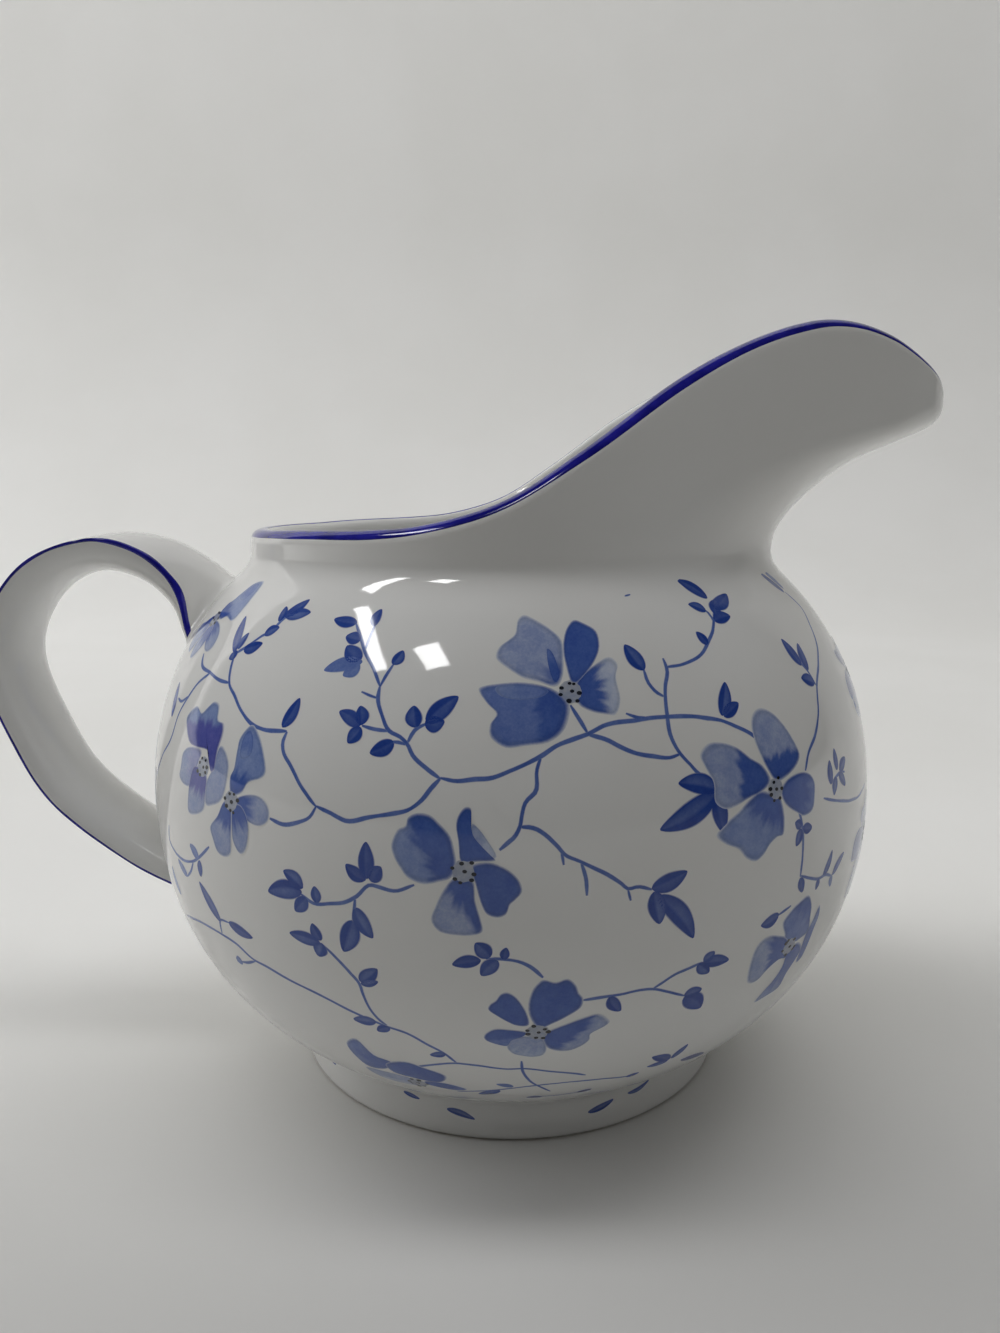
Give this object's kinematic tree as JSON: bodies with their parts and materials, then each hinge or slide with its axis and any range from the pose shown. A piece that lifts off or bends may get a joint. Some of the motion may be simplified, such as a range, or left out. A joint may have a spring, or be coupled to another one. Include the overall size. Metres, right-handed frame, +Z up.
{
  "type": "cream jug",
  "caption": "Small round porcelain cream jug on a foot ring, with a high pouring spout, a strap handle, cobalt edge lines and printed blue blossom sprays.",
  "frame": {"origin": "middle of the overall box at the plane the foot ring stands on", "axes": "+Z up, +X towards the pouring spout, -X towards the handle; the bowl's own axis is upright and stands a little on the spout side of the origin"},
  "size_m": [0.1178, 0.0892, 0.0893],
  "materials": {
    "porcelain": "white porcelain under a clear glossy glaze, bare and matt on the foot ring's bearing edge",
    "cobalt_line": "glossy hand-banded cobalt blue line",
    "blue_print": "glossy printed transfer in soft washes of blue on white"
  },
  "bodies": {
    "root": {"bowl": "porcelain", "handle": "porcelain", "upper_slip_joint": "porcelain", "lower_slip_joint": "porcelain", "rim_line": "cobalt_line", "handle_line_front": "cobalt_line", "handle_line_back": "cobalt_line", "transfer_front_left": "blue_print", "transfer_front_centre": "blue_print", "transfer_front_right": "blue_print", "transfer_back_left": "blue_print", "transfer_back_centre": "blue_print", "transfer_back_right": "blue_print"}
  },
  "joints": []
}
